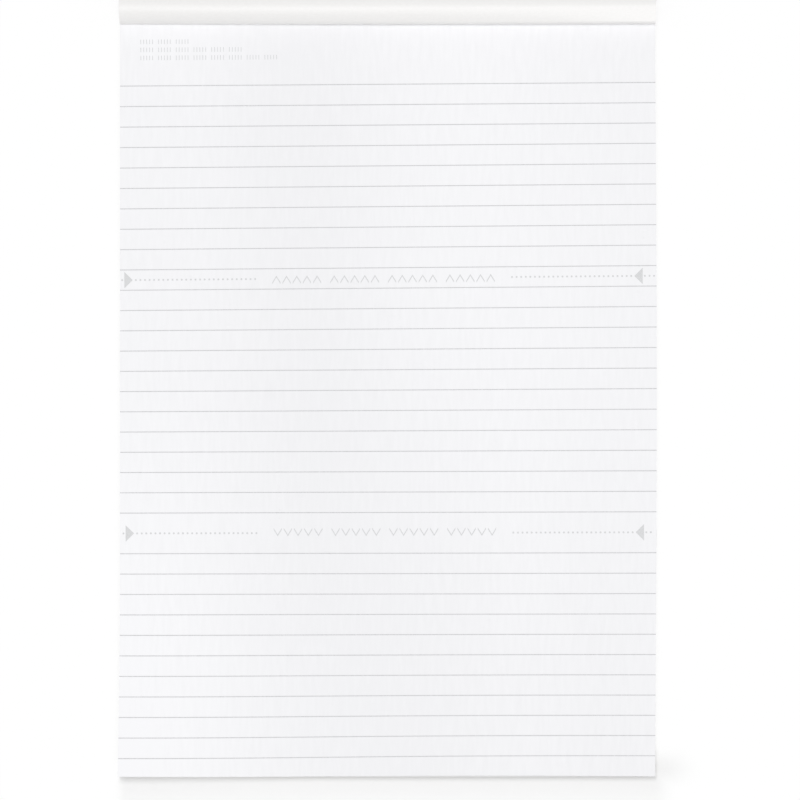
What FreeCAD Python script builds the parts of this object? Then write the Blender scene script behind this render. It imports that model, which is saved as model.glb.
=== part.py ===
import FreeCAD, Part
import math
import os

# An A4 writing pad lying on its back, with its cover turned back over the head and under the board.
# Millimetres. X runs across the sheets, Y from the foot to the head, and Z up from the table.
# The origin is on the table, under the middle of the pad and its rolled cover together.

# Sheets, board and glue
sheet_width = 210.0
sheet_length = 297.0
sheet_count = 50
sheet_thickness = 0.112
guide_thickness = 0.15
board_thickness = 1.1
glue_thickness = 0.25

# Cover: one card, glued under the board and up the head, then creased and turned back
card_thickness = 0.32
back_strip_length = 20.0
cover_panel_length = 297.0
crease_setback = 1.9
crease_inside_radius = 0.4
tuck_gap = 0.05

# Print on the guide sheet, measured from the sheet's head edge and from the print's own middle line
ink_thickness = 0.03
print_turn_deg = 0.3
print_shift = -1.35
rule_pitch = 8.0
rule_width = 0.35
first_rule_from_head = 25.4
rule_foot_margin = 6.0
rule_clear_of_fold = 3.0
fold_spacing = 100.0
first_fold_from_head = 101.4
arrow_margin = 3.3
arrow_depth = 3.3
arrow_height = 6.5
dot_diameter = 0.8
dot_sides = 12
dot_pitch = 1.8
dot_to_arrow_tip = 1.2
dot_to_arrow_base = 0.85
dot_to_chevrons = 5.0
chevron_width = 3.2
chevron_height = 2.6
chevron_stroke = 0.4
chevron_pitch = 4.0
chevrons_in_group = 5
chevron_groups = 4
chevron_group_gap = 3.5
tick_width = 0.28
tick_height = 1.8
tick_pitch = 1.15
ticks_in_group = 5
tick_group_gap = 1.2
tick_groups_by_row = (3, 6, 8)
tick_row_pitch = 3.14
first_tick_row_from_head = 8.2
tick_margin = 10.1

# Heights of the stack above the table
back_strip_bottom = card_thickness + tuck_gap
board_bottom = back_strip_bottom + card_thickness
block_bottom = board_bottom + board_thickness
block_height = sheet_count * sheet_thickness
guide_bottom = block_bottom + block_height
page_top = guide_bottom + guide_thickness

# Bends of the card, along the middle of its thickness
half_card = card_thickness / 2.0
spine_bend_radius = glue_thickness + half_card
crease_radius = crease_inside_radius + half_card
roll_radius = page_top + crease_radius

# Rows of marks, by their reach on each side of the print's middle line
arrow_base_reach = sheet_width / 2.0 - arrow_margin
arrow_tip_reach = arrow_base_reach - arrow_depth
chevron_group_length = (chevrons_in_group - 1) * chevron_pitch + chevron_width
chevron_group_pitch = chevron_group_length + chevron_group_gap
chevron_row_reach = (chevron_groups * chevron_group_pitch - chevron_group_gap) / 2.0

# Places along Y: the head of the roll and the foot of the sheets are equally far from the origin
roll_reach = 2.0 * roll_radius + card_thickness - crease_setback
head_edge = (sheet_length - roll_reach) / 2.0
foot_edge = head_edge - sheet_length
sheet_middle = head_edge - sheet_length / 2.0


def turned(heading, degrees):
    """Turns a direction in the YZ plane to the left."""
    angle = math.radians(degrees)
    along_y = heading[0] * math.cos(angle) - heading[1] * math.sin(angle)
    along_z = heading[0] * math.sin(angle) + heading[1] * math.cos(angle)
    return (along_y, along_z)


def moved(point, direction, distance):
    """Moves a point of the YZ plane along a direction."""
    return (point[0] + direction[0] * distance, point[1] + direction[1] * distance)


def card_steps():
    """The card's way round the head: straight runs by length, bends by radius and turn to the left."""
    hinge_run = crease_setback - half_card - crease_radius
    roll_turn = 270.0
    crease_arc = crease_radius * math.pi / 2.0
    roll_arc = roll_radius * math.radians(roll_turn)
    tucked_run = cover_panel_length - hinge_run - crease_arc - roll_arc
    spine_run = page_top - board_bottom - 2.0 * glue_thickness
    return [
        ("run", back_strip_length),
        ("bend", spine_bend_radius, 90.0),
        ("run", spine_run),
        ("bend", spine_bend_radius, 90.0),
        ("run", hinge_run),
        ("bend", crease_radius, -90.0),
        ("bend", roll_radius, -roll_turn),
        ("run", tucked_run),
    ]


def card_side(side):
    """One face of the bent card, drawn along it: side is 1 for its left face and -1 for its right."""
    point = (head_edge - back_strip_length, back_strip_bottom + half_card)
    heading = (1.0, 0.0)
    places = [moved(point, turned(heading, 90.0), side * half_card)]
    edges = []
    for kind, size, *turn_of_bend in card_steps():
        left = turned(heading, 90.0)
        if kind == "run":
            point = moved(point, heading, size)
            places.append(moved(point, left, side * half_card))
            edges.append(Part.makeLine(section_point(places[-2]), section_point(places[-1])))
        else:
            turn = turn_of_bend[0]
            hand = math.copysign(1.0, turn)
            centre = moved(point, left, hand * size)
            outward = turned(heading, -hand * 90.0)
            face_radius = size - hand * side * half_card
            middle = moved(centre, turned(outward, turn / 2.0), face_radius)
            places.append(moved(centre, turned(outward, turn), face_radius))
            arc = Part.Arc(section_point(places[-2]), section_point(middle), section_point(places[-1]))
            edges.append(arc.toShape())
            point = moved(centre, turned(outward, turn), size)
            heading = turned(heading, turn)
    return edges, places


def section_point(point):
    """A point of the pad's long section, on the left side of the sheets."""
    return FreeCAD.Vector(-sheet_width / 2.0, point[0], point[1])


def across_sheet(edges):
    """A solid with the closed section that the edges draw in order, as wide as the sheets."""
    section = Part.Face(Part.Wire(edges))
    return section.extrude(FreeCAD.Vector(sheet_width, 0.0, 0.0))


def slab(bottom, thickness):
    """A flat piece with the outline of a sheet."""
    corner = FreeCAD.Vector(-sheet_width / 2.0, foot_edge, bottom)
    return Part.makeBox(sheet_width, sheet_length, thickness, corner)


def make_cover():
    """The whole cover: glued strip, head, crease, roll and the panel tucked under the pad."""
    left_edges, left_places = card_side(1)
    right_edges, right_places = card_side(-1)
    free_edge = Part.makeLine(section_point(left_places[-1]), section_point(right_places[-1]))
    strip_edge = Part.makeLine(section_point(right_places[0]), section_point(left_places[0]))
    return across_sheet(left_edges + [free_edge] + right_edges[::-1] + [strip_edge])


def make_head_glue():
    """The film that holds the head of the stack, with its two long edges rounded inside the card."""
    outer = head_edge + glue_thickness
    low = board_bottom
    high = page_top
    round_off = glue_thickness * math.sqrt(0.5)
    low_middle = (head_edge + round_off, low + glue_thickness - round_off)
    high_middle = (head_edge + round_off, high - glue_thickness + round_off)
    low_arc = Part.Arc(
        section_point((head_edge, low)),
        section_point(low_middle),
        section_point((outer, low + glue_thickness)),
    )
    high_arc = Part.Arc(
        section_point((outer, high - glue_thickness)),
        section_point(high_middle),
        section_point((head_edge, high)),
    )
    face_line = Part.makeLine(
        section_point((outer, low + glue_thickness)),
        section_point((outer, high - glue_thickness)),
    )
    seat_line = Part.makeLine(section_point((head_edge, high)), section_point((head_edge, low)))
    return across_sheet([low_arc.toShape(), face_line, high_arc.toShape(), seat_line])


def printed(shapes):
    """Lays marks drawn about the sheet's middle onto the page, turned and shifted as they were printed."""
    page = slab(page_top, ink_thickness)
    marks = []
    for shape in shapes:
        shape.rotate(FreeCAD.Vector(0.0, 0.0, 0.0), FreeCAD.Vector(0.0, 0.0, 1.0), print_turn_deg)
        shape.translate(FreeCAD.Vector(print_shift, sheet_middle, page_top))
        kept = shape.common(page)
        marks.extend(kept.Solids)
    return Part.makeCompound(marks)


def below_head(distance):
    """Height above the sheet's middle of a mark at this distance below the head edge."""
    return sheet_length / 2.0 - distance


def inked(points):
    """A mark with straight sides, as thick as the ink, standing on the print's own plane."""
    corners = [FreeCAD.Vector(x, y, 0.0) for x, y in points]
    outline = Part.makePolygon(corners + corners[:1])
    return Part.Face(outline).extrude(FreeCAD.Vector(0.0, 0.0, ink_thickness))


def fold_heights():
    """The two fold lines that part the sheet in three."""
    first = below_head(first_fold_from_head)
    return (first, first - fold_spacing)


def make_ruled_lines():
    """Ruled lines from edge to edge, left out where a fold line runs."""
    reach = sheet_width / 2.0 + abs(print_shift) + arrow_depth
    ruled_length = sheet_length - rule_foot_margin - first_rule_from_head
    rule_count = int(ruled_length / rule_pitch) + 1
    half_rule = rule_width / 2.0
    lines = []
    for number in range(rule_count):
        height = below_head(first_rule_from_head + number * rule_pitch)
        if min(abs(height - fold) for fold in fold_heights()) < rule_clear_of_fold:
            continue
        low = height - half_rule
        high = height + half_rule
        lines.append(inked([(-reach, low), (reach, low), (reach, high), (-reach, high)]))
    return printed(lines)


def make_fold_arrows():
    """Solid triangles at both ends of each fold line, pointing inwards."""
    half_height = arrow_height / 2.0
    arrows = []
    for fold in fold_heights():
        for side in (-1.0, 1.0):
            base = side * arrow_base_reach
            arrows.append(inked([
                (base, fold - half_height),
                (base, fold + half_height),
                (side * arrow_tip_reach, fold),
            ]))
    return printed(arrows)


def make_fold_dots():
    """Dotted fold lines: a run inside each arrow, and what room there is outside it."""
    radius = dot_diameter / 2.0
    inner_reach = arrow_tip_reach - dot_to_arrow_tip
    outer_reach = arrow_base_reach + dot_to_arrow_base
    inner_count = int((inner_reach - dot_to_chevrons - chevron_row_reach) / dot_pitch) + 1
    inner_places = [inner_reach - number * dot_pitch for number in range(inner_count)]
    corners = [math.radians(360.0 * number / dot_sides) for number in range(dot_sides)]
    dots = []
    for fold in fold_heights():
        for side in (-1.0, 1.0):
            edge_reach = sheet_width / 2.0 - side * print_shift
            turn_drift = abs(fold) * math.sin(math.radians(abs(print_turn_deg)))
            room = edge_reach - radius - outer_reach - turn_drift
            outer_count = max(0, int(room / dot_pitch) + 1)
            outer_places = [outer_reach + number * dot_pitch for number in range(outer_count)]
            for place in inner_places + outer_places:
                middle = side * place
                dots.append(inked([
                    (middle + radius * math.cos(corner), fold + radius * math.sin(corner))
                    for corner in corners
                ]))
    return printed(dots)


def chevron(middle, foot, point_up):
    """An open chevron with square-cut ends, between its foot height and its point."""
    half_width = chevron_width / 2.0
    rise = chevron_height * point_up
    stroke_rise = chevron_stroke * point_up * math.hypot(half_width, chevron_height) / half_width
    return inked([
        (middle - half_width, foot),
        (middle, foot + rise),
        (middle + half_width, foot),
        (middle + half_width, foot - stroke_rise),
        (middle, foot + rise - stroke_rise),
        (middle - half_width, foot - stroke_rise),
    ])


def make_fold_chevrons():
    """Groups of chevrons in the middle of each fold line, up on the first and down on the second."""
    marks = []
    for fold, point_up in zip(fold_heights(), (1.0, -1.0)):
        foot = fold - point_up * chevron_height / 2.0
        for group in range(chevron_groups):
            group_start = group * chevron_group_pitch - chevron_row_reach
            for number in range(chevrons_in_group):
                middle = group_start + chevron_width / 2.0 + number * chevron_pitch
                marks.append(chevron(middle, foot, point_up))
    return printed(marks)


def make_heading_ticks():
    """Three rows of small upright ticks, counted off in groups, at the head of the page."""
    group_pitch = ticks_in_group * tick_pitch + tick_group_gap
    row_start = tick_margin - sheet_width / 2.0
    marks = []
    for row, group_count in enumerate(tick_groups_by_row):
        middle = below_head(first_tick_row_from_head + row * tick_row_pitch)
        low = middle - tick_height / 2.0
        high = middle + tick_height / 2.0
        for group in range(group_count):
            for number in range(ticks_in_group):
                left = row_start + group * group_pitch + number * tick_pitch
                right = left + tick_width
                marks.append(inked([(left, low), (right, low), (right, high), (left, high)]))
    return printed(marks)


pieces = {
    "cover": make_cover(),
    "backing_board": slab(board_bottom, board_thickness),
    "sheet_block": slab(block_bottom, block_height),
    "guide_sheet": slab(guide_bottom, guide_thickness),
    "head_glue": make_head_glue(),
    "ruled_lines": make_ruled_lines(),
    "fold_arrows": make_fold_arrows(),
    "fold_dots": make_fold_dots(),
    "fold_chevrons": make_fold_chevrons(),
    "heading_ticks": make_heading_ticks(),
}

os.makedirs("parts", exist_ok=True)
for name, shape in pieces.items():
    shape.exportStep(f"parts/{name}.step")
    box = shape.BoundBox
    print(f"{name}: {len(shape.Solids)} solids, volume {shape.Volume:.1f} mm3, valid {shape.isValid()}")
    print(f"  X {box.XMin:.3f} to {box.XMax:.3f}, Y {box.YMin:.3f} to {box.YMax:.3f}")
    print(f"  Z {box.ZMin:.3f} to {box.ZMax:.3f}")
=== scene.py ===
# %% [markdown]
# # A writing pad with its cover turned back
#
# The real object is a stack of cut paper on a board, glued at the head, with one card for a cover.
# The cover has been turned back over the head and lies under the pad, so that it makes a loose roll.
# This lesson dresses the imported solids: paper that isn't quite flat, card with a grain, and pale print.

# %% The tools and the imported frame
import math

import bmesh
import bpy
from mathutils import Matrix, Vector


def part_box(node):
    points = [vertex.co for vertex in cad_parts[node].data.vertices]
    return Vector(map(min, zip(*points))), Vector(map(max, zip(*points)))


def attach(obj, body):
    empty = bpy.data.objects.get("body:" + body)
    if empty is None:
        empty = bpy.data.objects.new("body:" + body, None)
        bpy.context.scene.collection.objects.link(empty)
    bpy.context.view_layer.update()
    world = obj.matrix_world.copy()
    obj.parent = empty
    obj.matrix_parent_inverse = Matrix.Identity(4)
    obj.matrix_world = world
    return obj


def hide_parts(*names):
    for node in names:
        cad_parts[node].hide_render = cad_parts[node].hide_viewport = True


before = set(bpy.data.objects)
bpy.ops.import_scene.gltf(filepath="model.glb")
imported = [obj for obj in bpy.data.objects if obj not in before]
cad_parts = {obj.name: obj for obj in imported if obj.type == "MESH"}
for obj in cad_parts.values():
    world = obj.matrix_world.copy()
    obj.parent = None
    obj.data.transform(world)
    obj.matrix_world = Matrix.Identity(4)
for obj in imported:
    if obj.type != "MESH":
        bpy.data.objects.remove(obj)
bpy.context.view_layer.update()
print("Packed nodes:", ", ".join(sorted(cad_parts)))

# %% [markdown]
# ## Sizes
#
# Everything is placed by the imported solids, so the few sizes that a piece needs are read from their boxes.
# Only what a box can't tell, such as the thickness of the card, is written here as a value of its own.

# %% Sizes read from the solids
mm = 0.001
block_low, block_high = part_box("sheet_block")
page_low, page_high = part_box("guide_sheet")
board_low, board_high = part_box("backing_board")
glue_low, glue_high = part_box("head_glue")
cover_low, cover_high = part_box("cover")

sheet_width = page_high.x - page_low.x
sheet_length = page_high.y - page_low.y
head_edge = page_high.y
foot_edge = page_low.y
page_top = page_high.z
sheet_middle = Vector((0.0, (head_edge + foot_edge) / 2.0, 0.0))
print(f"Sheets of {sheet_width / mm:.1f} by {sheet_length / mm:.1f} mm, page {page_top / mm:.2f} mm up")

# %% [markdown]
# ## Helpers for node trees
#
# Materials and Geometry Nodes are both trees of nodes. One function adds a node with its settings and its
# inputs, whether an input is a plain value or the output of another node. Three short ones add steps that
# come up again and again, and three more start, end and run a Geometry Nodes tree. What a modifier makes is
# always kept as a plain mesh, so that nothing live is left on a piece.


# %% Adding nodes and running trees
def add_node(tree, kind, inputs=None, **settings):
    """Adds a node: inputs are named or numbered, and hold values or other nodes' outputs."""
    made = tree.nodes.new(kind)
    for name, value in settings.items():
        setattr(made, name, value)
    for name, value in (inputs or {}).items():
        if isinstance(value, bpy.types.NodeSocket):
            tree.links.new(value, made.inputs[name])
        else:
            made.inputs[name].default_value = value
    return made


def math_step(tree, operation, first, second):
    """One step of arithmetic in a tree."""
    return add_node(tree, "ShaderNodeMath", {0: first, 1: second}, operation=operation).outputs[0]


def straight_up(tree, height):
    """A vector straight up, as long as a height."""
    return add_node(tree, "ShaderNodeCombineXYZ", {"Z": height}).outputs[0]


def moved_by(tree, geometry, offset):
    """A geometry with each of its points moved by an offset."""
    return add_node(tree, "GeometryNodeSetPosition", {"Geometry": geometry, "Offset": offset}).outputs[0]


def new_geometry_tree(name, inputs):
    """Starts a Geometry Nodes tree with named inputs and one geometry output."""
    tree = bpy.data.node_groups.new(name, "GeometryNodeTree")
    for label, kind in inputs.items():
        tree.interface.new_socket(label, in_out="INPUT", socket_type=f"NodeSocket{kind}")
    tree.interface.new_socket("Geometry", in_out="OUTPUT", socket_type="NodeSocketGeometry")
    return tree


def finish_tree(tree, geometry, material):
    """Ends a tree: instances become real mesh, the material is set, and the result goes out."""
    real = add_node(tree, "GeometryNodeRealizeInstances", {"Geometry": geometry})
    painted = add_node(tree, "GeometryNodeSetMaterial", {"Geometry": real.outputs[0], "Material": material})
    add_node(tree, "NodeGroupOutput", {"Geometry": painted.outputs[0]})


def keep_result(piece, modifier):
    """Keeps what a piece's modifier makes as a plain mesh and takes the modifier away."""
    graph = bpy.context.evaluated_depsgraph_get()
    mesh = bpy.data.meshes.new_from_object(piece.evaluated_get(graph), depsgraph=graph)
    piece.modifiers.remove(modifier)
    piece.data = mesh
    print(f"{piece.name}: {len(mesh.polygons)} faces")


def run_tree(name, tree, values):
    """Runs a tree with its inputs given by name and keeps the result as a plain mesh object."""
    piece = bpy.data.objects.new(name, bpy.data.meshes.new(name))
    bpy.context.scene.collection.objects.link(piece)
    modifier = piece.modifiers.new("Tree", "NODES")
    modifier.node_group = tree
    for item in tree.interface.items_tree:
        if item.in_out == "INPUT":
            modifier[item.identifier] = values[item.name]
    keep_result(piece, modifier)
    return piece


def join_pieces(name, pieces):
    """Makes one piece of several that share a material."""
    shell = bmesh.new()
    for piece in pieces:
        shell.from_mesh(piece.data)
    mesh = bpy.data.meshes.new(name)
    shell.to_mesh(mesh)
    shell.free()
    mesh.materials.append(pieces[0].data.materials[0])
    for piece in pieces:
        bpy.data.objects.remove(piece)
    joined = bpy.data.objects.new(name, mesh)
    bpy.context.scene.collection.objects.link(joined)
    print(f"{name}: {len(mesh.polygons)} faces in all")
    return joined


# %% [markdown]
# ## Colours as they print
#
# The pad is almost white, so its colours are told apart by a few steps in 255. It is easier to think of
# them as they print, and this helper turns such a colour into the linear light that shaders use.


# %% Colours and surfaces
def printed_colour(red, green, blue):
    """A colour of the 0 to 255 scale, as linear light with full alpha."""
    def linear(value):
        part = value / 255.0
        return part / 12.92 if part <= 0.04045 else ((part + 0.055) / 1.055) ** 2.4
    return (linear(red), linear(green), linear(blue), 1.0)


def colour_ramp(tree, factor, stops):
    """A colour ramp over a factor, from pairs of a position and a colour."""
    ramp = add_node(tree, "ShaderNodeValToRGB", {"Fac": factor})
    while len(ramp.color_ramp.elements) < len(stops):
        ramp.color_ramp.elements.new(0.5)
    for element, (position, colour) in zip(ramp.color_ramp.elements, stops):
        element.position = position
        element.color = colour
    return ramp.outputs["Color"]


def new_surface(name, roughness, specular):
    """A material with its shader's plain values set, its tree and the object's own coordinates."""
    material = bpy.data.materials.new(name)
    material.use_nodes = True
    tree = material.node_tree
    shader = tree.nodes["Principled BSDF"]
    shader.inputs["Roughness"].default_value = roughness
    shader.inputs["Specular IOR Level"].default_value = specular
    place = add_node(tree, "ShaderNodeTexCoord").outputs["Object"]
    return material, tree, shader, place


def stretched(tree, place, scale, shift=(0.0, 0.0, 0.0)):
    """Coordinates stretched along an axis, for grain that has a direction, and shifted if need be."""
    mapping = add_node(tree, "ShaderNodeMapping", {"Vector": place, "Scale": scale, "Location": shift})
    return mapping.outputs["Vector"]


def noise(tree, place, per_metre, detail):
    """Smooth noise with this many features in a metre."""
    made = add_node(tree, "ShaderNodeTexNoise", {"Vector": place, "Scale": per_metre, "Detail": detail})
    return made.outputs["Fac"]


def add_bump(tree, shader, height, depth, strength):
    """Gives a shader fine relief from a height, as deep as the real relief."""
    bump = add_node(tree, "ShaderNodeBump", {"Height": height, "Distance": depth, "Strength": strength})
    tree.links.new(bump.outputs["Normal"], shader.inputs["Normal"])


# %% [markdown]
# ## Paper
#
# Writing paper is matt and bright, a little blue from its brightener. Held to the light it is cloudy, as
# the fibres lie thicker here and thinner there, and its surface has a very fine tooth. One noise gives the
# clouds, drawn out along the sheet. A much slower one paints wide pale bands of light, shifted to where the
# page is lit palest, all within a few steps of colour: this is painted light, not a tone of the paper. A
# third, very fine, gives the tooth as relief. Noise has no seams and stays sharp in a close view, which a
# picture of paper wouldn't.


# %% Paper for the sheets and for the guide sheet
painted_light_shift = (1.65, 3.75, 0.78)


def make_paper(name, light, dark):
    """Matt paper between two close colours, with painted bands of light and a fine tooth."""
    material, tree, shader, place = new_surface(name, roughness=0.9, specular=0.2)
    clouds = noise(tree, stretched(tree, place, (1.0, 0.15, 1.0)), per_metre=650.0, detail=5.0)
    # Painted light: slow pale bands where the page is lit palest, mixed into the paper's own clouds.
    bands = noise(tree, stretched(tree, place, (1.0, 0.2, 1.0), painted_light_shift), per_metre=9.0, detail=1.0)
    both = add_node(tree, "ShaderNodeMix", {"Factor": 0.7, 2: clouds, 3: bands}, data_type="FLOAT")
    colour = colour_ramp(tree, both.outputs[0], [(0.36, dark), (0.64, light)])
    tree.links.new(colour, shader.inputs["Base Color"])
    tooth = noise(tree, place, per_metre=4200.0, detail=5.0)
    add_bump(tree, shader, tooth, depth=0.02 * mm, strength=0.5)
    return material


sheet_paper = make_paper("sheet_paper", printed_colour(245, 245, 247), printed_colour(243, 243, 245))
guide_paper = make_paper("guide_paper", printed_colour(247, 247, 249), printed_colour(240, 240, 242))
print("Paper:", sheet_paper.name, guide_paper.name)

# %% [markdown]
# ## Card
#
# The inside of the cover is uncoated card: warmer than the paper, a little smoother, and with a grain that
# runs one way from the machine that made it. The noise for its grain is stretched across the pad, which is
# the way card bends round a head without cracking.


# %% Card for the cover
def make_card():
    """Off-white card with a soft grain along the bend and a faint sheen."""
    material, tree, shader, place = new_surface("cover_card", roughness=0.43, specular=0.6)
    grain = noise(tree, stretched(tree, place, (0.5, 1.0, 1.0)), per_metre=1400.0, detail=5.0)
    colour = colour_ramp(tree, grain, [
        (0.3, printed_colour(238, 237, 236)),
        (0.7, printed_colour(241, 240, 239)),
    ])
    tree.links.new(colour, shader.inputs["Base Color"])
    tooth = noise(tree, stretched(tree, place, (0.6, 1.0, 1.0)), per_metre=3000.0, detail=4.0)
    add_bump(tree, shader, tooth, depth=0.015 * mm, strength=0.4)
    return material


cover_card = make_card()
print("Card:", cover_card.name)

# %% [markdown]
# ## Grey board and glue
#
# The board under the sheets is pressed from waste paper. It is grey brown, with light and dark flecks, and
# its cut edge shows thin layers. One noise gives both: it is squeezed flat, as the flecks are in the press.
# The padding glue is a rubbery white film that has dried a little uneven, so a slow noise makes its lumps.


# %% Grey board and padding glue
def make_grey_board():
    """Recycled board with flecks on its faces and layers on its edge."""
    material, tree, shader, place = new_surface("grey_board", roughness=0.95, specular=0.15)
    flecks = noise(tree, stretched(tree, place, (1.0, 0.45, 6.0)), per_metre=1500.0, detail=6.0)
    colour = colour_ramp(tree, flecks, [
        (0.28, printed_colour(118, 112, 102)),
        (0.45, printed_colour(162, 156, 146)),
        (0.6, printed_colour(172, 167, 157)),
        (0.74, printed_colour(205, 201, 192)),
    ])
    tree.links.new(colour, shader.inputs["Base Color"])
    add_bump(tree, shader, flecks, depth=0.06 * mm, strength=0.6)
    return material


def make_padding_glue():
    """A dried white film, slightly glossy and lumpy."""
    material, tree, shader, place = new_surface("padding_glue", roughness=0.42, specular=0.5)
    lumps = noise(tree, place, per_metre=700.0, detail=2.0)
    colour = colour_ramp(tree, lumps, [
        (0.3, printed_colour(226, 223, 211)),
        (0.7, printed_colour(237, 235, 226)),
    ])
    tree.links.new(colour, shader.inputs["Base Color"])
    add_bump(tree, shader, lumps, depth=0.05 * mm, strength=0.5)
    return material


grey_board = make_grey_board()
padding_glue = make_padding_glue()
print("Board and glue:", grey_board.name, padding_glue.name)

# %% [markdown]
# ## Ink
#
# The rules and marks are offset print in pale grey. Ink on rough paper isn't solid: the paper shows
# through in specks where the tooth stood away from the plate. A fine noise mixes paper back into the ink.


# %% Ink for the rules and for the marks
def make_ink(name, ink, paper_shows):
    """Grey ink with fine specks of a paler colour."""
    material, tree, shader, place = new_surface(name, roughness=0.85, specular=0.2)
    specks = noise(tree, place, per_metre=5200.0, detail=3.0)
    colour = colour_ramp(tree, specks, [(0.46, ink), (0.68, paper_shows)])
    tree.links.new(colour, shader.inputs["Base Color"])
    return material


line_ink = make_ink("line_ink", printed_colour(198, 198, 200), printed_colour(228, 228, 230))
mark_ink = make_ink("mark_ink", printed_colour(211, 212, 213), printed_colour(229, 229, 231))
print("Ink:", line_ink.name, mark_ink.name)

# %% [markdown]
# ## How the page lies
#
# A loose sheet is never flat. It rises in long, low waves, more towards the foot, because the head is held
# under the cover, and the corner at the foot on the left lifts a little. One function says how high the
# sheet stands at a place. Simulated cloth would lie in waves too, but it would choose their places itself.
# The top sheets of the block follow a share of the same lift at the corner.


# %% The page's waves and its lifted corner
wave_height = 0.3 * mm
wave_across = 150.0 * mm
wave_along = 210.0 * mm
slant_across = 0.35
slant_along = 0.22
start_across = 0.1
start_along = 0.6
share_across = 0.6
share_along = 0.4
corner_lift = 3.0 * mm
corner_reach = 62.0 * mm
guide_slack = 0.06 * mm
slack_reach = 1.0 / 8.0


def corner_share(x, y):
    """How much of the corner's lift a place has: all at the corner, none beyond the lift's reach."""
    diagonal = ((x - page_low.x) + (y - page_low.y)) * math.sqrt(0.5)
    return max(0.0, 1.0 - diagonal / corner_reach) ** 2


def page_rise(x, y):
    """How far the guide sheet stands above its flat place."""
    from_head = (head_edge - y) / sheet_length
    across = math.sin(math.tau * (x / wave_across + slant_across * y / wave_along + start_across))
    along = math.sin(math.tau * (y / wave_along + slant_along * x / wave_across + start_along))
    waves = wave_height * from_head * (1.0 + share_across * across + share_along * along)
    slack = guide_slack * min(1.0, from_head / slack_reach)
    return waves + corner_lift * corner_share(x, y) + slack


print(f"The corner lifts {page_rise(page_low.x, page_low.y) / mm:.2f} mm")

# %% [markdown]
# ## How the page drifts
#
# The sheet isn't quite square on the board either. Its foot lies in a faint curve, the lifted corner has
# slid outwards and a little up the sheet, and the sheet is a hair askew, one way above its middle and the
# other way below. The sheet and the print on it are given the same drift.
#
# The knife didn't cut the right side straight either: between head and foot it stands out in a faint bow,
# most in the upper sheets. The rules run off the sheet's edge, so they reach out with it, and the other
# marks don't.


# %% The page's drift on the block, and the bow
corner_slide = 0.8 * mm
corner_draw = 0.45 * mm
foot_curve = 0.35 * mm
foot_curve_across = 300.0 * mm
foot_curve_reach = 70.0 * mm
skew = 0.0035
skew_middle = -10.0 * mm
skew_length = 300.0 * mm
side_bow = 0.6 * mm
bow_narrowing = 1.5
bow_gathering = 1.5


def bow_at(x, y):
    """How far the bow of the right side reaches at a place: all at the edge, none left of the middle."""
    across = max(0.0, 2.0 * x / sheet_width)
    from_head = min(1.0, max(0.0, (head_edge - y) / sheet_length))
    return side_bow * across * max(0.0, math.sin(math.pi * from_head)) ** bow_narrowing


def page_drift(x, y):
    """How far a point of the page has moved on the block, across and along."""
    curl = corner_share(x, y)
    near_foot = max(0.0, 1.0 - (y - foot_edge) / foot_curve_reach)
    curve = foot_curve * near_foot * math.cos(math.tau * (x - page_low.x) / foot_curve_across)
    askew = skew * x * math.sin(math.tau * (skew_middle - y) / skew_length)
    return -corner_slide * curl, corner_draw * curl - curve - askew


def drift_piece(piece, bows):
    """Moves every point of a piece by the page's drift, and by the bow too if the piece bows."""
    for corner in piece.data.vertices:
        across, along = page_drift(corner.co.x, corner.co.y)
        corner.co.x += across + (bow_at(corner.co.x, corner.co.y) if bows else 0.0)
        corner.co.y += along


def bow_block(piece):
    """Bows the right side of the block, from nothing at the bottom to the page's own bow at the top."""
    for corner in piece.data.vertices:
        height = min(1.0, max(0.0, (corner.co.z - block_low.z) / (block_high.z - block_low.z)))
        corner.co.x += bow_at(corner.co.x, corner.co.y) * height ** bow_gathering


# %% [markdown]
# ## Skins, walls and tubes
#
# Sheets, card and long thin pieces all start as rows of points with faces between them. A skin becomes a
# wall when it is given a thickness, and a tube when its rows run round and its ends are filled.


# %% Making pieces from rows of points
def new_piece(name, shell, material):
    """Makes an object of a bmesh, with its material, in the scene."""
    mesh = bpy.data.meshes.new(name)
    shell.to_mesh(mesh)
    shell.free()
    mesh.materials.append(material)
    piece = bpy.data.objects.new(name, mesh)
    bpy.context.scene.collection.objects.link(piece)
    return piece


def skin_grid(rows):
    """A skin over rows of points: faces join each row to the next."""
    shell = bmesh.new()
    made = [[shell.verts.new(point) for point in row] for row in rows]
    for row, after in zip(made, made[1:]):
        for left, right, above_right, above_left in zip(row, row[1:], after[1:], after):
            shell.faces.new((left, right, above_right, above_left))
    return shell


def spaced(start, end, count):
    """Evenly spaced numbers, both ends among them."""
    return [start + (end - start) * number / (count - 1) for number in range(count)]


def close_tube(shell):
    """Joins the seam of a skin that runs round, fills its two ends and turns its faces outwards."""
    bmesh.ops.remove_doubles(shell, verts=shell.verts, dist=0.001 * mm)
    bmesh.ops.holes_fill(shell, edges=shell.edges, sides=0)
    bmesh.ops.recalc_face_normals(shell, faces=shell.faces)


def add_thickness(piece, thickness, offset):
    """Turns a skin into a closed wall and keeps the result as a plain mesh."""
    modifier = piece.modifiers.new("Thickness", "SOLIDIFY")
    modifier.thickness = thickness
    modifier.offset = offset
    modifier.use_even_offset = True
    keep_result(piece, modifier)


# %% [markdown]
# ## The guide sheet
#
# The printed sheet on top is a skin over a grid of points at the page's height, with the thickness of one
# sheet put under it. The grid is close enough for the print to lie on it without cutting in. A plane with
# a Displace modifier would need a texture for its heights, and here they come straight from the function.

# %% The guide sheet
page_columns = 85
page_rows = 119
page_grid = [
    [(x, y, page_top + page_rise(x, y)) for x in spaced(page_low.x, page_high.x, page_columns)]
    for y in spaced(foot_edge, head_edge, page_rows)
]
guide_sheet = new_piece("printed_guide_sheet", skin_grid(page_grid), guide_paper)
add_thickness(guide_sheet, page_high.z - page_low.z, offset=-1.0)

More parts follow.
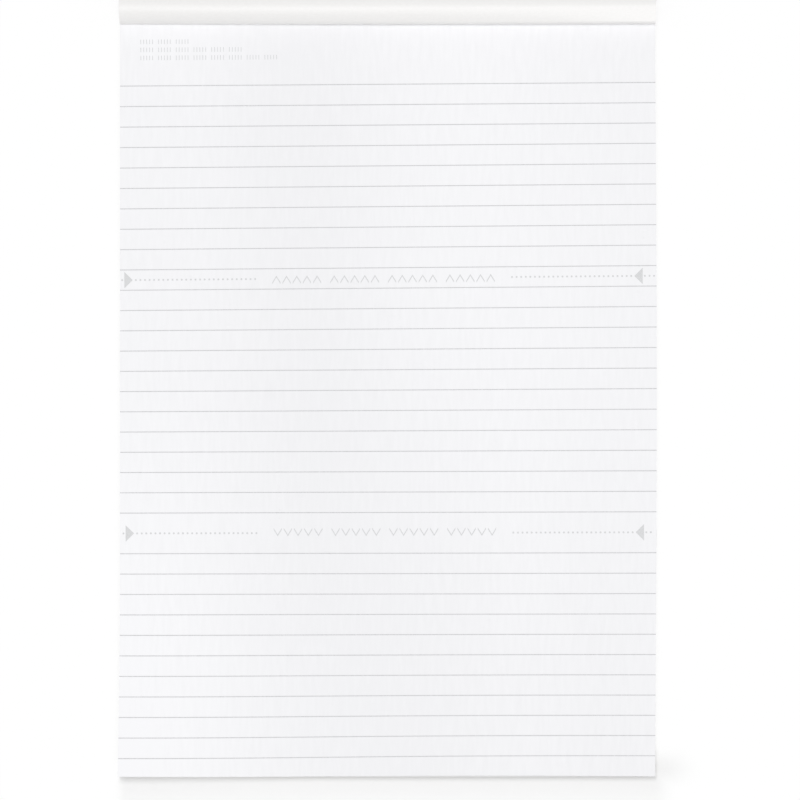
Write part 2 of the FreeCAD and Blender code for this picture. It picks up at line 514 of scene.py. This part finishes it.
# %% [markdown]
# ## The block of sheets
#
# Fifty sheets make the block, and its sides show it: each sheet lies a hair out of line with the next. A
# Geometry Nodes tree repeats one thin sheet up a line of points and moves each a little at random, where
# an Array modifier would keep them exactly in line. The lower sheets need few points. The top ones have
# more, because they rise with the lifted corner. Then the bow is given to the whole block.

# %% The tree that stacks sheets
lift_gathering = 1.6
inward = (math.sqrt(0.5), math.sqrt(0.5), 0.0)

stack_tree = new_geometry_tree("sheet_stack", {
    "Sheets": "Int",
    "Pitch": "Float",
    "First sheet": "Vector",
    "Sheet size": "Vector",
    "Columns": "Int",
    "Rows": "Int",
    "Out of line": "Vector",
    "Seed": "Int",
    "Corner": "Vector",
    "Corner lift": "Float",
    "Corner reach": "Float",
    "Paper": "Material",
})
given = add_node(stack_tree, "NodeGroupInput").outputs
places = add_node(stack_tree, "GeometryNodeMeshLine", {
    "Count": given["Sheets"],
    "Start Location": given["First sheet"],
    "Offset": straight_up(stack_tree, given["Pitch"]),
}, mode="OFFSET")
number = add_node(stack_tree, "GeometryNodeInputIndex").outputs[0]
part_up = math_step(stack_tree, "DIVIDE", number, given["Sheets"])
marked = add_node(stack_tree, "GeometryNodeStoreNamedAttribute", {
    "Geometry": places.outputs["Mesh"],
    "Name": "share_of_lift",
    "Value": math_step(stack_tree, "POWER", part_up, lift_gathering),
}, data_type="FLOAT", domain="POINT")
shuffle_low = add_node(stack_tree, "ShaderNodeVectorMath", {0: given["Out of line"], "Scale": -1.0},
                       operation="SCALE")
shuffle = add_node(stack_tree, "FunctionNodeRandomValue", {
    "Min": shuffle_low.outputs[0],
    "Max": given["Out of line"],
    "Seed": given["Seed"],
}, data_type="FLOAT_VECTOR")
one_sheet = add_node(stack_tree, "GeometryNodeMeshCube", {
    "Size": given["Sheet size"],
    "Vertices X": given["Columns"],
    "Vertices Y": given["Rows"],
    "Vertices Z": 2,
})
sheets = add_node(stack_tree, "GeometryNodeInstanceOnPoints", {
    "Points": moved_by(stack_tree, marked.outputs[0], shuffle.outputs["Value"]),
    "Instance": one_sheet.outputs["Mesh"],
})
loose = add_node(stack_tree, "GeometryNodeRealizeInstances", {"Geometry": sheets.outputs[0]})
where = add_node(stack_tree, "GeometryNodeInputPosition").outputs[0]
from_corner = add_node(stack_tree, "ShaderNodeVectorMath", {0: where, 1: given["Corner"]},
                       operation="SUBTRACT")
diagonal = add_node(stack_tree, "ShaderNodeVectorMath", {0: from_corner.outputs[0], 1: inward},
                    operation="DOT_PRODUCT")
nearness = add_node(stack_tree, "ShaderNodeMapRange", {
    "Value": diagonal.outputs["Value"],
    "From Min": 0.0,
    "From Max": given["Corner reach"],
    "To Min": 1.0,
    "To Max": 0.0,
})
curl = math_step(stack_tree, "POWER", nearness.outputs[0], 2.0)
lift = math_step(stack_tree, "MULTIPLY", curl, given["Corner lift"])
own_share = add_node(stack_tree, "GeometryNodeInputNamedAttribute", {"Name": "share_of_lift"},
                     data_type="FLOAT")
own_lift = math_step(stack_tree, "MULTIPLY", lift, own_share.outputs[0])
curled = moved_by(stack_tree, loose.outputs[0], straight_up(stack_tree, own_lift))
finish_tree(stack_tree, curled, given["Paper"])

# %% The block, in a flat part and a part that follows the corner
sheet_count = 50
flat_sheets = 36
top_sheets = sheet_count - flat_sheets
sheet_pitch = (block_high.z - block_low.z) / sheet_count
air_between = 0.006 * mm
cut_unevenness = 0.07 * mm
block_lift = 0.92 * corner_lift


def stack_sheets(name, count, sheets_below, columns, rows, lift_at_top, seed):
    """Runs the stacking tree for some of the sheets, from a height in the block."""
    inset = 2.0 * cut_unevenness
    height = block_low.z + (sheets_below + 0.5) * sheet_pitch
    return run_tree(name, stack_tree, {
        "Sheets": count,
        "Pitch": sheet_pitch,
        "First sheet": (0.0, sheet_middle.y - cut_unevenness, height),
        "Sheet size": (sheet_width - inset, sheet_length - inset, sheet_pitch - air_between),
        "Columns": columns,
        "Rows": rows,
        "Out of line": (cut_unevenness, cut_unevenness, 0.0),
        "Seed": seed,
        "Corner": (page_low.x, page_low.y, 0.0),
        "Corner lift": lift_at_top,
        "Corner reach": corner_reach,
        "Paper": sheet_paper,
    })


flat_part = stack_sheets(
    "flat_sheets", flat_sheets, sheets_below=0, columns=2, rows=21, lift_at_top=0.0, seed=3)
top_part = stack_sheets(
    "top_sheets", top_sheets, flat_sheets, columns=29, rows=41, lift_at_top=block_lift, seed=8)
writing_sheets = join_pieces("writing_sheets", [flat_part, top_part])
bow_block(writing_sheets)

# %% [markdown]
# ## Print that lies on the page
#
# The rules, dots and marks all repeat one shape along a line, some of them in groups. One tree does them
# all: it repeats the shape, turns the print by the small angle that it has on the sheet, finds with a ray
# how high the page stands at each point, and raises the point by that height. A Shrinkwrap modifier would
# also bring the print to the page, but it would press both faces of the ink onto it.

# %% The tree that prints marks
ray_height = 100.0 * mm

print_tree = new_geometry_tree("print_on_page", {
    "Mark": "Object",
    "Marks": "Int",
    "Mark step": "Vector",
    "Groups": "Int",
    "Group step": "Vector",
    "Start": "Vector",
    "Turn": "Rotation",
    "Shift": "Vector",
    "Page": "Object",
    "Ink": "Material",
})
given = add_node(print_tree, "NodeGroupInput").outputs
mark = add_node(print_tree, "GeometryNodeObjectInfo", {"Object": given["Mark"]}).outputs["Geometry"]
page = add_node(print_tree, "GeometryNodeObjectInfo", {"Object": given["Page"]}).outputs["Geometry"]
mark_places = add_node(print_tree, "GeometryNodeMeshLine", {
    "Count": given["Marks"],
    "Offset": given["Mark step"],
}, mode="OFFSET")
group = add_node(print_tree, "GeometryNodeInstanceOnPoints", {
    "Points": mark_places.outputs["Mesh"],
    "Instance": mark,
})
group_places = add_node(print_tree, "GeometryNodeMeshLine", {
    "Count": given["Groups"],
    "Start Location": given["Start"],
    "Offset": given["Group step"],
}, mode="OFFSET")
row = add_node(print_tree, "GeometryNodeInstanceOnPoints", {
    "Points": group_places.outputs["Mesh"],
    "Instance": group.outputs[0],
})
real_row = add_node(print_tree, "GeometryNodeRealizeInstances", {"Geometry": row.outputs[0]})
turned = add_node(print_tree, "GeometryNodeTransform", {
    "Geometry": real_row.outputs[0],
    "Rotation": given["Turn"],
    "Translation": given["Shift"],
})
where = add_node(print_tree, "GeometryNodeInputPosition").outputs[0]
ray_start = add_node(print_tree, "ShaderNodeVectorMath", {
    0: where,
    1: (0.0, 0.0, ray_height),
}, operation="ADD")
drop = add_node(print_tree, "GeometryNodeRaycast", {
    "Target Geometry": page,
    "Source Position": ray_start.outputs[0],
    "Ray Direction": (0.0, 0.0, -1.0),
    "Ray Length": 2.0 * ray_height,
})
landing = add_node(print_tree, "ShaderNodeSeparateXYZ", {0: drop.outputs["Hit Position"]})
laid = moved_by(print_tree, turned.outputs[0], straight_up(print_tree, landing.outputs["Z"]))
finish_tree(print_tree, laid, given["Ink"])

# %% [markdown]
# ## The shapes that are printed
#
# Each shape is a flat outline given the thickness of the ink: a strip for a rule, a disc for a dot, a
# triangle for an arrow, a chevron and a tick for the generic marks. A rule is long, so it has points all
# along it, and it is slanted by the turn of the print, so that its ends are cut at the sheet's edges.

# %% Shapes of ink
ink_rise = 0.02 * mm
ink_sink = 0.01 * mm
print_turn = math.radians(0.3)
print_shift = -1.35 * mm


def ink_strip(name, lower, upper):
    """A closed strip of ink between two lines of points that run side by side."""
    rings = []
    for low, high in zip(lower, upper):
        corners = ((low, -ink_sink), (high, -ink_sink), (high, ink_rise), (low, ink_rise))
        ring = [(x, y, level) for (x, y), level in corners]
        rings.append(ring + ring[:1])
    shell = skin_grid(rings)
    close_tube(shell)
    return new_piece(name, shell, line_ink)


def ink_shape(name, outline):
    """A flat outline of ink with its thickness."""
    shell = bmesh.new()
    face = shell.faces.new([shell.verts.new((x, y, -ink_sink)) for x, y in outline])
    raised = bmesh.ops.extrude_face_region(shell, geom=[face])
    moved = [part for part in raised["geom"] if isinstance(part, bmesh.types.BMVert)]
    bmesh.ops.translate(shell, verts=moved, vec=(0.0, 0.0, ink_rise + ink_sink))
    bmesh.ops.recalc_face_normals(shell, faces=shell.faces)
    return new_piece(name, shell, mark_ink)


def print_on_page(name, mark, ink, marks, mark_step, start, turn, shift, groups=1, group_step=0.0):
    """Runs the printing tree, with the step and the start given across and along the sheet."""
    return run_tree(name, print_tree, {
        "Mark": mark,
        "Marks": marks,
        "Mark step": (*mark_step, 0.0),
        "Groups": groups,
        "Group step": (group_step, 0.0, 0.0),
        "Start": (*start, 0.0),
        "Turn": (0.0, 0.0, turn),
        "Shift": (shift, sheet_middle.y, 0.0),
        "Page": guide_sheet,
        "Ink": ink,
    })


def print_row(name, mark, marks, mark_step, start, groups=1, group_step=0.0):
    """Prints groups of a mark along X from a start on the sheet, measured from the sheet's middle."""
    return print_on_page(name, mark, mark_ink, marks, (mark_step, 0.0), start, print_turn, print_shift,
                         groups, group_step)


def below_head(distance):
    """A height above the sheet's middle, from a distance below its head edge."""
    return sheet_length / 2.0 - distance


# %% [markdown]
# ## Ruled lines
#
# The lines are 8 mm apart and run off both edges of the sheet. The second fold line takes the place of one
# of them, so they are printed in two sets, above it and below it.

# %% Ruled lines
rule_pitch = 8.0 * mm
rule_half = 0.175 * mm
first_rule = 25.4 * mm
rules_above_fold = 22
rules_below_fold = 11
edge_inset = 0.03 * mm
points_on_rule = 70
rule_points = spaced(page_low.x + edge_inset, page_high.x - edge_inset, points_on_rule)


def rule_height(x):
    """How far the slant of the print lifts a rule at a place across the sheet."""
    return (x - print_shift) * math.tan(print_turn)


rule = ink_strip(
    "rule",
    [(x, rule_height(x) - rule_half) for x in rule_points],
    [(x, rule_height(x) + rule_half) for x in rule_points],
)


def print_rules(name, count, first):
    """Prints a set of ruled lines downwards from a distance below the head edge."""
    return print_on_page(name, rule, line_ink, count, (0.0, -rule_pitch), (0.0, below_head(first)),
                         turn=0.0, shift=0.0)


ruled_lines = join_pieces("printed_rules", [
    print_rules("rules_above", rules_above_fold, first_rule),
    print_rules("rules_below", rules_below_fold, first_rule + (rules_above_fold + 1) * rule_pitch),
])
bpy.data.objects.remove(rule)

# %% [markdown]
# ## Fold lines
#
# Two dotted lines part the sheet in three for a long envelope. Each has a solid triangle at both ends that
# points inwards, a run of dots inside it, and one to three dots more between the triangle and the sheet's
# edge. The middle of each line is free for the marks that come next.

# %% Dots and arrows
first_fold = 101.4 * mm
fold_spacing = 100.0 * mm
fold_rows = (below_head(first_fold), below_head(first_fold + fold_spacing))
arrow_margin = 3.3 * mm
arrow_depth = 3.3 * mm
arrow_half = 3.25 * mm
arrow_base = sheet_width / 2.0 - arrow_margin
arrow_tip = arrow_base - arrow_depth
dot_radius = 0.4 * mm
dot_pitch = 1.8 * mm
dot_sides = 20
gap_inside_arrow = 1.2 * mm
gap_outside_arrow = 0.85 * mm
inner_dots = 27
inner_reach = arrow_tip - gap_inside_arrow
outer_reach = arrow_base + gap_outside_arrow
outer_dots = {(0, -1): 1, (0, 1): 3, (1, -1): 1, (1, 1): 2}
dot_corners = [math.tau * number / dot_sides for number in range(dot_sides)]

dot = ink_shape("dot", [(dot_radius * math.cos(turn), dot_radius * math.sin(turn)) for turn in dot_corners])
arrow_right = ink_shape("arrow_right", [(0.0, -arrow_half), (arrow_depth, 0.0), (0.0, arrow_half)])
arrow_left = ink_shape("arrow_left", [(0.0, arrow_half), (-arrow_depth, 0.0), (0.0, -arrow_half)])

dot_runs = []
arrows = []
for fold_number, fold in enumerate(fold_rows):
    for side, arrow in ((-1, arrow_right), (1, arrow_left)):
        label = f"{fold_number}_{side}"
        arrows.append(print_row(f"arrow_{label}", arrow, 1, 0.0, (side * arrow_base, fold)))
        dot_runs.append(print_row(
            f"inner_{label}", dot, inner_dots, -side * dot_pitch, (side * inner_reach, fold)))
        dot_runs.append(print_row(
            f"outer_{label}", dot, outer_dots[fold_number, side], side * dot_pitch,
            (side * outer_reach, fold)))
fold_dots = join_pieces("printed_dots", dot_runs)
fold_arrows = join_pieces("printed_arrows", arrows)
for stamp in (dot, arrow_right, arrow_left):
    bpy.data.objects.remove(stamp)

# %% [markdown]
# ## Generic marks
#
# Small plain marks stand in the middle of each fold line and in the corner at the head: groups of chevrons
# along the folds, up on the first and down on the second, and rows of counted ticks.

# %% Chevrons and ticks
chevron_half = 1.6 * mm
chevron_height = 2.6 * mm
chevron_stroke = 0.4 * mm
chevron_pitch = 4.0 * mm
chevrons_in_group = 5
chevron_groups = 4
chevron_gap = 3.5 * mm
chevron_group_pitch = (chevrons_in_group - 1) * chevron_pitch + 2.0 * chevron_half + chevron_gap
chevron_row_reach = (chevron_groups * chevron_group_pitch - chevron_gap) / 2.0


def chevron_outline(up):
    """An open chevron about its foot, pointing up for 1 and down for -1."""
    rise = chevron_height * up
    stroke = chevron_stroke * up * math.hypot(chevron_half, chevron_height) / chevron_half
    outline = [(-chevron_half, 0.0), (0.0, rise), (chevron_half, 0.0)]
    return outline + [(x, y - stroke) for x, y in reversed(outline)]


chevron_rows = []
for fold, up in zip(fold_rows, (1, -1)):
    chevron = ink_shape(f"chevron_{up}", chevron_outline(up))
    start = (chevron_half - chevron_row_reach, fold - up * chevron_height / 2.0)
    chevron_rows.append(print_row(
        f"chevrons_{up}", chevron, chevrons_in_group, chevron_pitch, start,
        groups=chevron_groups, group_step=chevron_group_pitch))
    bpy.data.objects.remove(chevron)
fold_chevrons = join_pieces("printed_chevrons", chevron_rows)

tick_width = 0.28 * mm
tick_half = 0.9 * mm
tick_pitch = 1.15 * mm
ticks_in_group = 5
tick_gap = 1.2 * mm
tick_group_pitch = ticks_in_group * tick_pitch + tick_gap
tick_groups_by_row = (3, 6, 8)
tick_row_pitch = 3.14 * mm
first_tick_row = 8.2 * mm
tick_margin = 10.1 * mm
tick_start = tick_margin - sheet_width / 2.0

tick = ink_shape("tick", [
    (0.0, -tick_half), (tick_width, -tick_half), (tick_width, tick_half), (0.0, tick_half),
])
heading_ticks = join_pieces("printed_ticks", [
    print_row(
        f"ticks_{number}", tick, ticks_in_group, tick_pitch,
        (tick_start, below_head(first_tick_row + number * tick_row_pitch)),
        groups=groups, group_step=tick_group_pitch)
    for number, groups in enumerate(tick_groups_by_row)
])
bpy.data.objects.remove(tick)

# %% The page and its print drift together
for piece in (guide_sheet, ruled_lines):
    drift_piece(piece, bows=True)
for piece in (fold_dots, fold_arrows, fold_chevrons, heading_ticks):
    drift_piece(piece, bows=False)
corner_across, corner_along = page_drift(page_low.x, page_low.y)
print(f"The lifted corner has drifted {corner_across / mm:.2f} and {corner_along / mm:.2f} mm")

# %% [markdown]
# ## The cover
#
# The cover is one card. It is glued under the board, bends up the head, bends again over the front edge,
# is creased a little way in, and then turns back in a wide roll and lies under the pad. Walking along its
# section in runs and bends gives the middle line of the card, and a place can be asked for at any distance.
# A curve drawn by eye could be swept across, but nothing would keep the length of the card.
#
# On the left the roll is round. Towards the right it is pressed: the card stands up from the crease, turns
# over a tighter shoulder and is nearly flat on its way to the top. Both sections are as long as the same
# card, so each point across the pad lies between the two places at its own distance along the card. The
# back of the pressed roll gets the one radius that brings the card down flat under the pad.

# %% The cover's sizes
card = 0.32 * mm
half_card = card / 2.0
strip_length = 20.0 * mm
glue_film = glue_high.y - glue_low.y
spine_bend = glue_film + half_card
spine_run = page_top - board_low.z - 2.0 * glue_film
roll_outside = cover_high.z - cover_low.z
roll_radius = roll_outside / 2.0 - half_card
crease_radius = roll_radius - page_top
crease_place = cover_high.y - roll_outside + half_card
hinge_run = head_edge - crease_place - crease_radius
tucked_run = crease_place + roll_radius - cover_low.y
quarter_turn = math.pi / 2.0

pressed_crease = math.radians(94.0)
pressed_wall = 3.6 * mm
shoulder_radius = 0.8 * mm
shoulder_slope = math.radians(18.0)
pressed_flat = 5.6 * mm


# %% Two sections of the cover
def bend_step(radius, turn):
    """A bend as a step: its length and its turn, where a turn to the left is positive."""
    return (radius * abs(turn), turn)


def place_along(steps, distance):
    """The place at a distance along a line of runs and bends that starts under the board."""
    place = Vector((head_edge - strip_length, board_low.z - half_card))
    heading = 0.0
    for length, turn in steps:
        part = min(1.0, distance / length)
        if turn:
            radius = length / turn
            after = heading + turn * part
            place.x += radius * (math.sin(after) - math.sin(heading))
            place.y += radius * (math.cos(heading) - math.cos(after))
            heading = after
        else:
            place += length * part * Vector((math.cos(heading), math.sin(heading)))
        distance -= length
        if distance <= 0.0:
            break
    return place


up_to_hinge = [
    (strip_length, 0.0),
    bend_step(spine_bend, quarter_turn),
    (spine_run, 0.0),
    bend_step(spine_bend, quarter_turn),
    (hinge_run, 0.0),
]
round_section = up_to_hinge + [
    bend_step(crease_radius, -quarter_turn),
    bend_step(roll_radius, -3.0 * quarter_turn),
    (tucked_run, 0.0),
]
card_length = sum(length for length, _ in round_section)

pressed_start = up_to_hinge + [
    bend_step(crease_radius, -pressed_crease),
    (pressed_wall, 0.0),
    bend_step(shoulder_radius, pressed_crease + shoulder_slope - math.pi),
    (pressed_flat, 0.0),
]
flat_end = place_along(pressed_start, sum(length for length, _ in pressed_start))
back_radius = (flat_end.y - half_card) / (1.0 + math.cos(shoulder_slope))
pressed_start.append(bend_step(back_radius, -math.pi - shoulder_slope))
pressed_section = pressed_start + [(card_length - sum(length for length, _ in pressed_start), 0.0)]
print(f"The card is {card_length / mm:.1f} mm long")
print(f"Radius of the roll: {roll_radius / mm:.2f} mm left, {back_radius / mm:.2f} mm right")

# %% [markdown]
# The stations along the card are close together where it bends and far apart where it is flat. The roll is
# also let out and drawn in by up to a tenth of a millimetre from side to side, because card never rolls
# evenly, and in the middle of the pad it leans a little over the page.

# %% The cover's skin and thickness
bend_spacing = 0.3 * mm
tight_spacing = 0.1 * mm
tight_bend = 2.0 * mm
flat_spacing = 7.0 * mm
cover_columns = 61
pressed_growth = 1.6
roll_slack = 0.1 * mm
slack_wave = 170.0 * mm
slack_start = 0.9
lean = 0.38 * mm
lean_height = 2.5 * mm
roll_start = sum(length for length, _ in round_section[:-2])
roll_length = round_section[-2][0]
roll_centre = Vector((crease_place + roll_radius, half_card + roll_radius))


def station_spacing(length, turn):
    """How far apart the stations are on one run or bend of the card."""
    if not turn:
        return flat_spacing
    if length < tight_bend:
        return tight_spacing
    return bend_spacing


def card_stations():
    """Distances along the card, close together in its bends."""
    stations = [0.0]
    for length, turn in round_section:
        steps = max(2, round(length / station_spacing(length, turn)))
        start = stations[-1]
        stations += [start + length * number / steps for number in range(1, steps + 1)]
    return stations


def card_row(distance):
    """One row of points across the pad at a distance along the card."""
    round_place = place_along(round_section, distance)
    pressed_place = place_along(pressed_section, distance)
    round_roll = min(1.0, max(0.0, (distance - roll_start) / roll_length))
    row = []
    for x in spaced(cover_low.x, cover_high.x, cover_columns):
        across = (x - cover_low.x) / (cover_high.x - cover_low.x)
        place = round_place.lerp(pressed_place, across ** pressed_growth)
        wave = math.sin(math.tau * x / slack_wave + slack_start)
        slack = roll_slack * wave * math.sin(math.pi * round_roll) ** 2
        place += (place - roll_centre).normalized() * slack
        above_page = min(1.0, max(0.0, (place.y - page_top - card) / lean_height))
        place.x -= lean * above_page * math.sin(math.pi * across)
        row.append((x, place.x, place.y))
    return row


cover_grid = [card_row(distance) for distance in card_stations()]
turned_cover = new_piece("turned_cover", skin_grid(cover_grid), cover_card)
add_thickness(turned_cover, card, offset=0.0)
turned_cover.data.shade_smooth()
turned_cover.data.set_sharp_from_angle(angle=math.radians(40.0))

# %% [markdown]
# ## The board and the glue
#
# The board is cut with the sheets, so it is a plain slab, and its edges are a little crushed by the knife,
# which a Bevel modifier does well enough. The glue film shows only at its two ends, between the head of the
# stack and the cover, so it is a tube with the section that shows there.


# %% The board and the glue film
board_rounding = 0.12 * mm
glue_columns = 31
glue_corner_points = 7


def slab_piece(name, low, high, material):
    """A slab between two corners."""
    shell = bmesh.new()
    bmesh.ops.create_cube(shell, size=1.0)
    for corner in shell.verts:
        for axis in range(3):
            corner.co[axis] = low[axis] + (corner.co[axis] + 0.5) * (high[axis] - low[axis])
    return new_piece(name, shell, material)


def round_edges(piece, width, segments):
    """Rounds the edges of a piece and keeps the result as a plain mesh."""
    modifier = piece.modifiers.new("Rounding", "BEVEL")
    modifier.width = width
    modifier.segments = segments
    keep_result(piece, modifier)


board = slab_piece("grey_backing_board", board_low, board_high, grey_board)
round_edges(board, board_rounding, segments=3)


def glue_row(x):
    """The film's section at a place across the pad, with its outer corners rounded inside the card."""
    corners = []
    for centre_z, first_turn in ((glue_low.z + glue_film, -quarter_turn), (glue_high.z - glue_film, 0.0)):
        for turn in spaced(first_turn, first_turn + quarter_turn, glue_corner_points):
            y = glue_low.y + glue_film * math.cos(turn)
            z = centre_z + glue_film * math.sin(turn)
            corners.append((x, y, z))
    return corners + corners[:1]


glue_shell = skin_grid([glue_row(x) for x in spaced(glue_low.x, glue_high.x, glue_columns)])
close_tube(glue_shell)
glue = new_piece("padding_glue_film", glue_shell, padding_glue)
print(f"{glue.name}: {len(glue.data.polygons)} faces")

# %% [markdown]
# ## What each piece stands for
#
# Nothing on the pad moves by itself, so every piece rides on the one body. Each piece takes the place of
# the imported solid that it dresses.

# %% Riding on the frame
dressed = {
    "cover": (turned_cover, "cover_card"),
    "backing_board": (board, "grey_board"),
    "sheet_block": (writing_sheets, "sheet_paper"),
    "guide_sheet": (guide_sheet, "guide_paper"),
    "head_glue": (glue, "padding_glue"),
    "ruled_lines": (ruled_lines, "line_ink"),
    "fold_arrows": (fold_arrows, "mark_ink"),
    "fold_dots": (fold_dots, "mark_ink"),
    "fold_chevrons": (fold_chevrons, "mark_ink"),
    "heading_ticks": (heading_ticks, "mark_ink"),
}
for node_name, (piece, slot_name) in dressed.items():
    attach(piece, "root")
    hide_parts(node_name)
print("Dressed:", ", ".join(piece.name for piece, _ in dressed.values()))

# %% [markdown]
# ## Floor and light
#
# The pad lies on a white floor. Most of that white is a glow that only the camera and reflections see, so
# the floor reads as plain white with no more light on the paper. Near the foot of the pad, and beside its
# right corner at the foot, the glow gives way and the floor's colour is painted light grey: painted shade
# that deepens the pad's real soft shadow there.

# %% Floor
floor_half = 3.0
floor_depth = 0.02 * mm
shade_start = 2.0 * mm
shade_start_right = 1.0 * mm
shade_full = 3.0 * mm
shade_reach = 24.0 * mm
shade_past_left = 4.0 * mm
shade_past_right = 12.0 * mm
corner_shade_reach = 12.0 * mm
corner_shade_narrowing = 0.6
corner_shade_place = (page_high.x + 3.0 * mm, foot_edge + 2.5 * mm)

floor_shell = bmesh.new()
bmesh.ops.create_grid(floor_shell, x_segments=1, y_segments=1, size=floor_half)
floor_material = bpy.data.materials.new("white_floor")
floor_material.use_nodes = True
floor_tree = floor_material.node_tree
floor_shader = floor_tree.nodes["Principled BSDF"]
floor_shader.inputs["Roughness"].default_value = 1.0
floor_shader.inputs["Specular IOR Level"].default_value = 0.0
ray = add_node(floor_tree, "ShaderNodeLightPath").outputs
floor_place = add_node(floor_tree, "ShaderNodeTexCoord").outputs["Object"]
floor_parts = add_node(floor_tree, "ShaderNodeSeparateXYZ", {0: floor_place}).outputs


def rising(value, start, end):
    """Rises smoothly from 0 to 1 as a value on the floor goes from a start to an end."""
    return add_node(floor_tree, "ShaderNodeMapRange", {
        "Value": value,
        "From Min": start,
        "From Max": end,
    }, interpolation_type="SMOOTHSTEP").outputs[0]


def combined(operation, first, *others):
    """Combines factors on the floor, two at a time."""
    for other in others:
        first = math_step(floor_tree, operation, first, other)
    return first


# Painted shade under the foot: across the page's width, from the foot edge outwards.
under_foot = combined(
    "MULTIPLY",
    rising(floor_parts["Y"], foot_edge + shade_start, foot_edge),
    rising(floor_parts["Y"], foot_edge - shade_reach, foot_edge - shade_full),
    rising(floor_parts["X"], page_low.x - shade_past_left, page_low.x + shade_start),
    rising(floor_parts["X"], page_high.x + shade_past_right, page_high.x - shade_start_right))

# A patch of painted shadow beside the right corner at the foot.
corner_x, corner_y = corner_shade_place
from_right_corner = add_node(floor_tree, "ShaderNodeVectorMath", {
    0: stretched(floor_tree, floor_place, (corner_shade_narrowing, 1.0, 1.0)),
    1: (corner_shade_narrowing * corner_x, corner_y, 0.0),
}, operation="DISTANCE").outputs["Value"]
shaded = combined("MAXIMUM", under_foot, rising(from_right_corner, corner_shade_reach, 0.0))
# The floor's colour goes from white to light grey where shade is painted; the glow is lowered there too.
floor_painted_shade_tones = [(0.0, printed_colour(254, 254, 254)), (1.0, printed_colour(240, 240, 240))]
floor_tree.links.new(colour_ramp(floor_tree, shaded, floor_painted_shade_tones), floor_shader.inputs["Base Color"])
glow_here = add_node(floor_tree, "ShaderNodeMapRange", {
    "Value": shaded,
    "To Min": 0.85,
    "To Max": 0.16,
}).outputs[0]
seen = combined("MAXIMUM", ray["Is Camera Ray"], ray["Is Glossy Ray"], ray["Is Transmission Ray"])
glow = add_node(floor_tree, "ShaderNodeEmission", {"Color": (1.0, 1.0, 1.0, 1.0), "Strength": 1.0})
floor_mix = add_node(floor_tree, "ShaderNodeMixShader", {
    0: combined("MULTIPLY", glow_here, seen),
    1: floor_shader.outputs[0],
    2: glow.outputs[0],
})
floor_tree.links.new(floor_mix.outputs[0], floor_tree.nodes["Material Output"].inputs["Surface"])
floor = new_piece("white_floor", floor_shell, floor_material)
floor.location.z = -floor_depth

# %% [markdown]
# ## World and lamps
#
# An even white sky gives about half of the light. A small lamp stands overhead, a little beyond the head,
# and draws the thin lines of shade under the roll and below the foot. A wider one stands towards the foot,
# at the angle where the round of the cover carries its sheen up to the camera.

# %% World and lamps
world = bpy.data.worlds.new("white_room")
bpy.context.scene.world = world
world.use_nodes = True
world_tree = world.node_tree
sky = world_tree.nodes["Background"]
sky.inputs["Color"].default_value = (1.0, 1.0, 1.0, 1.0)
sky.inputs["Strength"].default_value = 0.45


def add_lamp(name, place, size, power, makes_sheen):
    """A soft lamp at a place, aimed at the pad, with a size across and a size along the pad."""
    lamp = bpy.data.lights.new(name, "AREA")
    lamp.shape = "RECTANGLE"
    lamp.size, lamp.size_y = size
    lamp.energy = power
    holder = bpy.data.objects.new(name, lamp)
    holder.location = place
    holder.rotation_euler = (-Vector(place)).to_track_quat("-Z", "Y").to_euler()
    holder.visible_camera = False
    holder.visible_glossy = makes_sheen
    bpy.context.scene.collection.objects.link(holder)


add_lamp("overhead_lamp", place=(-0.12, 0.38, 2.3), size=(0.3, 0.6), power=18.0, makes_sheen=False)
add_lamp("sheen_lamp", place=(0.25, -1.8, 3.3), size=(0.7, 0.7), power=40.0, makes_sheen=True)
bpy.context.scene.view_settings.view_transform = "Standard"

# %% [markdown]
# ## Camera
#
# The photograph looks straight down. The camera stands two metres above the page, so that the roll of the
# cover, which is higher than the page, looks hardly a millimetre larger than it is. Its place follows from
# where the page lies in the square picture: the page is a little left of the middle, and the head of the
# pad is cut off by the picture's edge.

# %% Camera
picture_size = 800.0
field_width = 313.9 * mm
camera_height = 2.0
page_middle_in_picture = 387.6
foot_in_picture = 776.5
size_of_pixel = field_width / picture_size
camera_x = (picture_size / 2.0 - page_middle_in_picture) * size_of_pixel
camera_y = foot_edge + (foot_in_picture - picture_size / 2.0) * size_of_pixel

lens = bpy.data.cameras.new("camera")
lens.sensor_width = 36.0
lens.lens = lens.sensor_width * camera_height / field_width
lens.clip_end = 20.0
camera = bpy.data.objects.new("camera", lens)
camera.location = (camera_x, camera_y, page_top + camera_height)
bpy.context.scene.collection.objects.link(camera)
bpy.context.scene.camera = camera
print(f"Camera over {camera_x / mm:.1f}, {camera_y / mm:.1f} mm with a lens of {lens.lens:.0f} mm")
